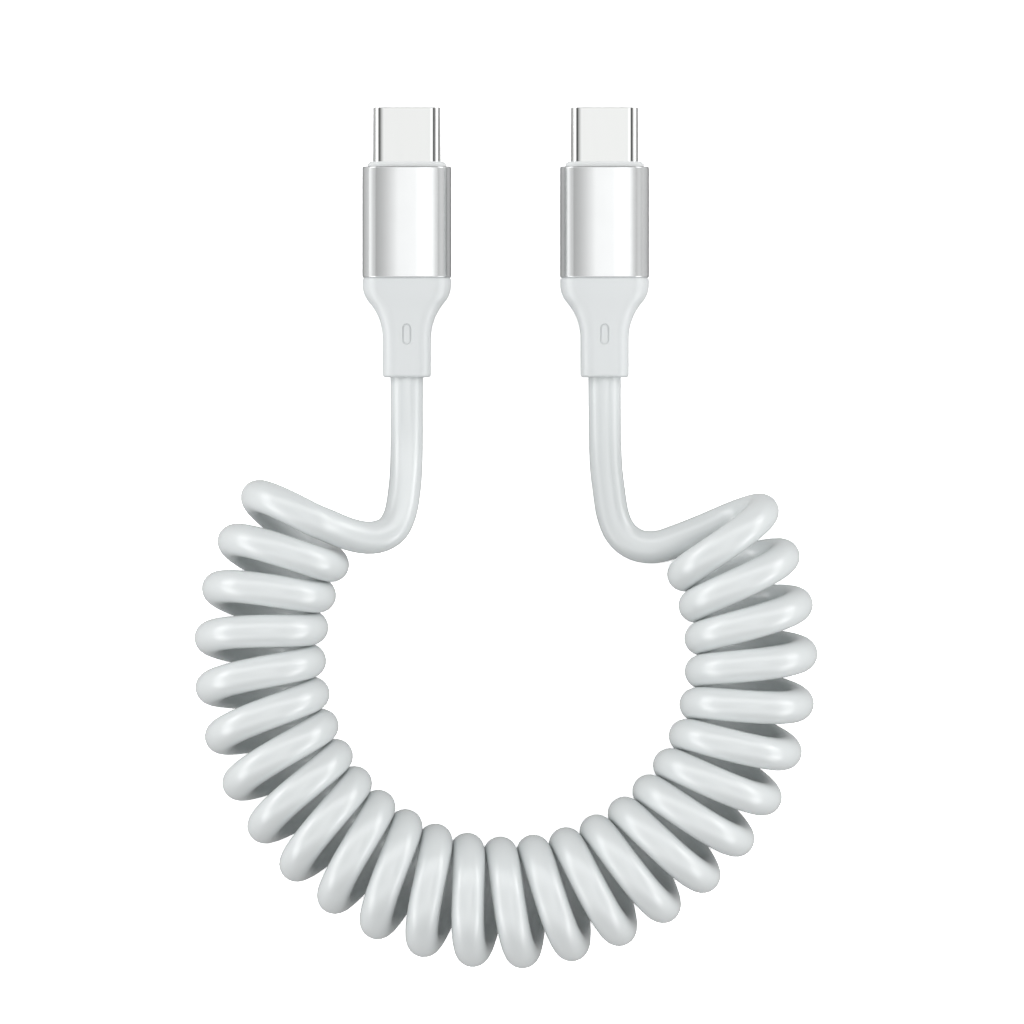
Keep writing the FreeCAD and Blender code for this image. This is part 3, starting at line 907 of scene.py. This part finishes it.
class Studio:
    """World nodes that set how bright the studio is in each direction."""

    def __init__(self, tree):
        self.nodes = tree.nodes
        self.links = tree.links

    def direction(self):
        """X, Y and Z of the direction that is looked in."""
        split = self.nodes.new("ShaderNodeSeparateXYZ")
        self.links.new(self.nodes.new("ShaderNodeTexCoord").outputs["Generated"], split.inputs["Vector"])
        return split.outputs["X"], split.outputs["Y"], split.outputs["Z"]

    def camera_ray(self):
        """1 where the camera looks straight at the studio, and 0 in light and reflections."""
        return self.nodes.new("ShaderNodeLightPath").outputs["Is Camera Ray"]

    def math(self, operation, *values):
        """One sum on the given values."""
        node = self.nodes.new("ShaderNodeMath")
        node.operation = operation
        for value, socket in zip(values, node.inputs):
            self.links.new(value, socket)
        return node.outputs["Value"]

    def rise(self, value, start, end):
        """Smooth step from 0 at start to 1 at end."""
        node = self.nodes.new("ShaderNodeMapRange")
        node.interpolation_type = "SMOOTHSTEP"
        node.inputs["From Min"].default_value = start
        node.inputs["From Max"].default_value = end
        self.links.new(value, node.inputs["Value"])
        return node.outputs["Result"]

    def grey(self, level):
        """One even grey."""
        node = self.nodes.new("ShaderNodeRGB")
        node.outputs["Color"].default_value = (level, level, level, 1)
        return node.outputs["Color"]

    def mix(self, share, first, second):
        """First where share is 0 and second where it is 1."""
        node = self.nodes.new("ShaderNodeMix")
        node.data_type = "RGBA"
        colours = [socket for socket in node.inputs if socket.type == "RGBA"]
        self.links.new(share, node.inputs["Factor"])
        self.links.new(first, colours[0])
        self.links.new(second, colours[1])
        return next(socket for socket in node.outputs if socket.type == "RGBA")

    def ramp(self, value, span, reach, stops):
        """Grey levels along a value that runs from -reach to reach, at stops from -span to span."""
        spread = self.nodes.new("ShaderNodeMapRange")
        spread.inputs["From Min"].default_value = -reach
        spread.inputs["From Max"].default_value = reach
        self.links.new(value, spread.inputs["Value"])
        ramp = self.nodes.new("ShaderNodeValToRGB")
        elements = ramp.color_ramp.elements
        while len(elements) < len(stops):
            elements.new(0.5)
        for element, (stop, level) in zip(elements, stops):
            element.position = (stop / span + 1) / 2
        # Each has its place now, so the colours go on in order
        for element, (stop, level) in zip(elements, stops):
            element.color = (level, level, level, 1)
        self.links.new(spread.outputs["Result"], ramp.inputs["Fac"])
        return ramp.outputs["Color"]


class CABLE_OT_stage(bpy.types.Operator):
    """Set the floor, the soft light and the camera"""
    bl_idname = "cable.stage"
    bl_label = "Stage"

    def execute(self, context):
        settings = context.scene.cable_stage
        self.floor(context, settings)
        self.light(context, settings)
        self.soft_boxes(context, settings)
        self.camera(context, settings)
        context.scene.view_settings.view_transform = "Standard"
        return {"FINISHED"}

    def floor(self, context, settings):
        """Plain pale floor, so bright to the camera that only deep shade shows on it."""
        half = 3.0
        mesh = bpy.data.meshes.new("floor")
        corners = [(-half, -half, 0), (half, -half, 0), (half, half, 0), (-half, half, 0)]
        mesh.from_pydata(corners, [], [(0, 1, 2, 3)])
        floor = bpy.data.objects.new("floor", mesh)
        context.scene.collection.objects.link(floor)
        material = bpy.data.materials.new("pale floor")
        material.use_nodes = True
        nodes = material.node_tree.nodes
        links = material.node_tree.links
        nodes.remove(nodes["Principled BSDF"])
        paths = nodes.new("ShaderNodeLightPath").outputs
        level = self.pick(nodes, links, paths["Is Glossy Ray"], settings.floor_lit, settings.floor_mirrored)
        level = self.pick(nodes, links, paths["Is Camera Ray"], level, settings.floor_seen)
        surface = nodes.new("ShaderNodeBsdfDiffuse")
        links.new(level, surface.inputs["Color"])
        links.new(surface.outputs["BSDF"], nodes["Material Output"].inputs["Surface"])
        mesh.materials.append(material)

    def pick(self, nodes, links, share, first, second):
        """First where share is 0 and second where it is 1; each is a number or another pick."""
        node = nodes.new("ShaderNodeMix")
        links.new(share, node.inputs["Factor"])
        for value, socket in ((first, node.inputs["A"]), (second, node.inputs["B"])):
            if isinstance(value, float):
                socket.default_value = value
            else:
                links.new(value, socket)
        return node.outputs["Result"]

    def light(self, context, settings):
        """Studio round the cable: soft strips overhead and at the sides, and plain pale walls in view."""
        world = bpy.data.worlds.new("studio")
        context.scene.world = world
        world.use_nodes = True
        studio = Studio(world.node_tree)
        x, y, z = studio.direction()
        across = studio.ramp(studio.math("ARCTAN2", x, z), 180, pi, across_levels)
        along = studio.ramp(y, 1.0, 1.0, along_levels)
        to_the_side = studio.rise(studio.math("ABSOLUTE", x), 0.55, 0.75)
        upwards = studio.rise(z, 0.30, 0.55)
        to_the_ends = studio.rise(studio.math("ABSOLUTE", y), 0.22, 0.36)
        low = studio.mix(to_the_side, studio.grey(0.20), studio.grey(2.5))
        ends = studio.mix(upwards, low, along)
        strips = studio.mix(to_the_ends, across, ends)
        walls = studio.mix(studio.camera_ray(), strips, studio.grey(0.96))
        background = world.node_tree.nodes["Background"]
        background.inputs["Strength"].default_value = settings.light
        world.node_tree.links.new(walls, background.inputs["Color"])

    def soft_boxes(self, context, settings):
        """Soft boxes low at the sides and high at both ends, and one that lights the bright metal alone."""
        sleeves = [side + "_satin_sleeve" for side in SIDES]
        shells = [side + "_bright_shell" for side in SIDES]
        flagged = self.receivers("flagged", sleeves, "EXCLUDE")
        moulded = self.receivers("moulded", sleeves + shells, "EXCLUDE")
        bright = self.receivers("bright metal", sleeves + shells, "INCLUDE")
        self.bank(
            context, "left_bank", location=(-0.75, -0.04, 0.165), size=(0.9, 0.30),
            power=settings.side_light, receivers=flagged)
        self.bank(
            context, "right_bank", location=(0.75, -0.04, 0.165), size=(0.9, 0.30),
            power=settings.side_light, receivers=flagged)
        self.bank(
            context, "back_bank", location=(0, -0.90, 0.28), size=(1.5, 0.50),
            power=settings.back_light, receivers=bright)
        self.bank(
            context, "high_front_bank", location=(0, 0.64, 0.74), size=(1.8, 0.50),
            power=settings.high_front_light, receivers=moulded)
        self.bank(
            context, "high_back_bank", location=(0, -0.58, 0.86), size=(1.8, 0.40),
            power=settings.high_back_light, receivers=moulded)

    def receivers(self, name, pieces, link_state):
        """Collection that lets a light reach only the named pieces, or all but them."""
        collection = bpy.data.collections.new(name)
        for piece in pieces:
            collection.objects.link(bpy.data.objects[piece])
        for member in collection.collection_objects:
            member.light_linking.link_state = link_state
        return collection

    def bank(self, context, name, location, size, power, receivers):
        """Soft box that faces the cable and stays out of the camera's view."""
        data = bpy.data.lights.new(name, "AREA")
        data.shape = "RECTANGLE"
        data.size, data.size_y = size
        data.energy = power
        bank = bpy.data.objects.new(name, data)
        bank.location = location
        bank.rotation_euler = (bank.location - lit_middle).to_track_quat("Z", "Y").to_euler()
        bank.visible_camera = False
        bank.light_linking.receiver_collection = receivers
        context.scene.collection.objects.link(bank)

    def camera(self, context, settings):
        """Long lens, straight above."""
        data = bpy.data.cameras.new("camera")
        data.lens = settings.lens
        distance = settings.view_width * data.lens / data.sensor_width
        data.clip_end = 10.0
        camera = bpy.data.objects.new("camera", data)
        camera.location = (settings.view_x, settings.view_y, settings.view_height + distance)
        context.scene.collection.objects.link(camera)
        context.scene.camera = camera


class CABLE_PT_panel(bpy.types.Panel):
    """Lists the cable's pieces and their settings"""
    bl_idname = "CABLE_PT_panel"
    bl_label = "Coiled charging cable"
    bl_space_type = "VIEW_3D"
    bl_region_type = "UI"
    bl_category = "Cable"

    def draw(self, context):
        for operator in OPERATORS:
            self.layout.operator(operator.bl_idname)
        for group in SETTINGS:
            settings = getattr(context.scene, group)
            box = self.layout.box()
            for name in settings.__annotations__:
                box.prop(settings, name)


OPERATORS = (
    CABLE_OT_cord,
    CABLE_OT_sleeves,
    CABLE_OT_boots,
    CABLE_OT_shells,
    CABLE_OT_contacts,
    CABLE_OT_inner_parts,
    CABLE_OT_stage,
)
SETTINGS = {
    "cable_cord": CordSettings,
    "cable_plug": PlugSettings,
    "cable_boot": BootSettings,
    "cable_contacts": ContactSettings,
    "cable_stage": StageSettings,
}


def register():
    for group in SETTINGS.values():
        bpy.utils.register_class(group)
    for operator in (*OPERATORS, CABLE_PT_panel):
        bpy.utils.register_class(operator)
    for name, group in SETTINGS.items():
        setattr(bpy.types.Scene, name, PointerProperty(type=group))


def unregister():
    for name in SETTINGS:
        delattr(bpy.types.Scene, name)
    for operator in (CABLE_PT_panel, *reversed(OPERATORS)):
        bpy.utils.unregister_class(operator)
    for group in reversed(SETTINGS.values()):
        bpy.utils.unregister_class(group)


def main():
    register()
    bpy.ops.cable.cord()
    bpy.ops.cable.sleeves()
    bpy.ops.cable.boots()
    bpy.ops.cable.shells()
    bpy.ops.cable.contacts()
    bpy.ops.cable.inner_parts()
    bpy.ops.cable.stage()


if __name__ == "__main__":
    main()
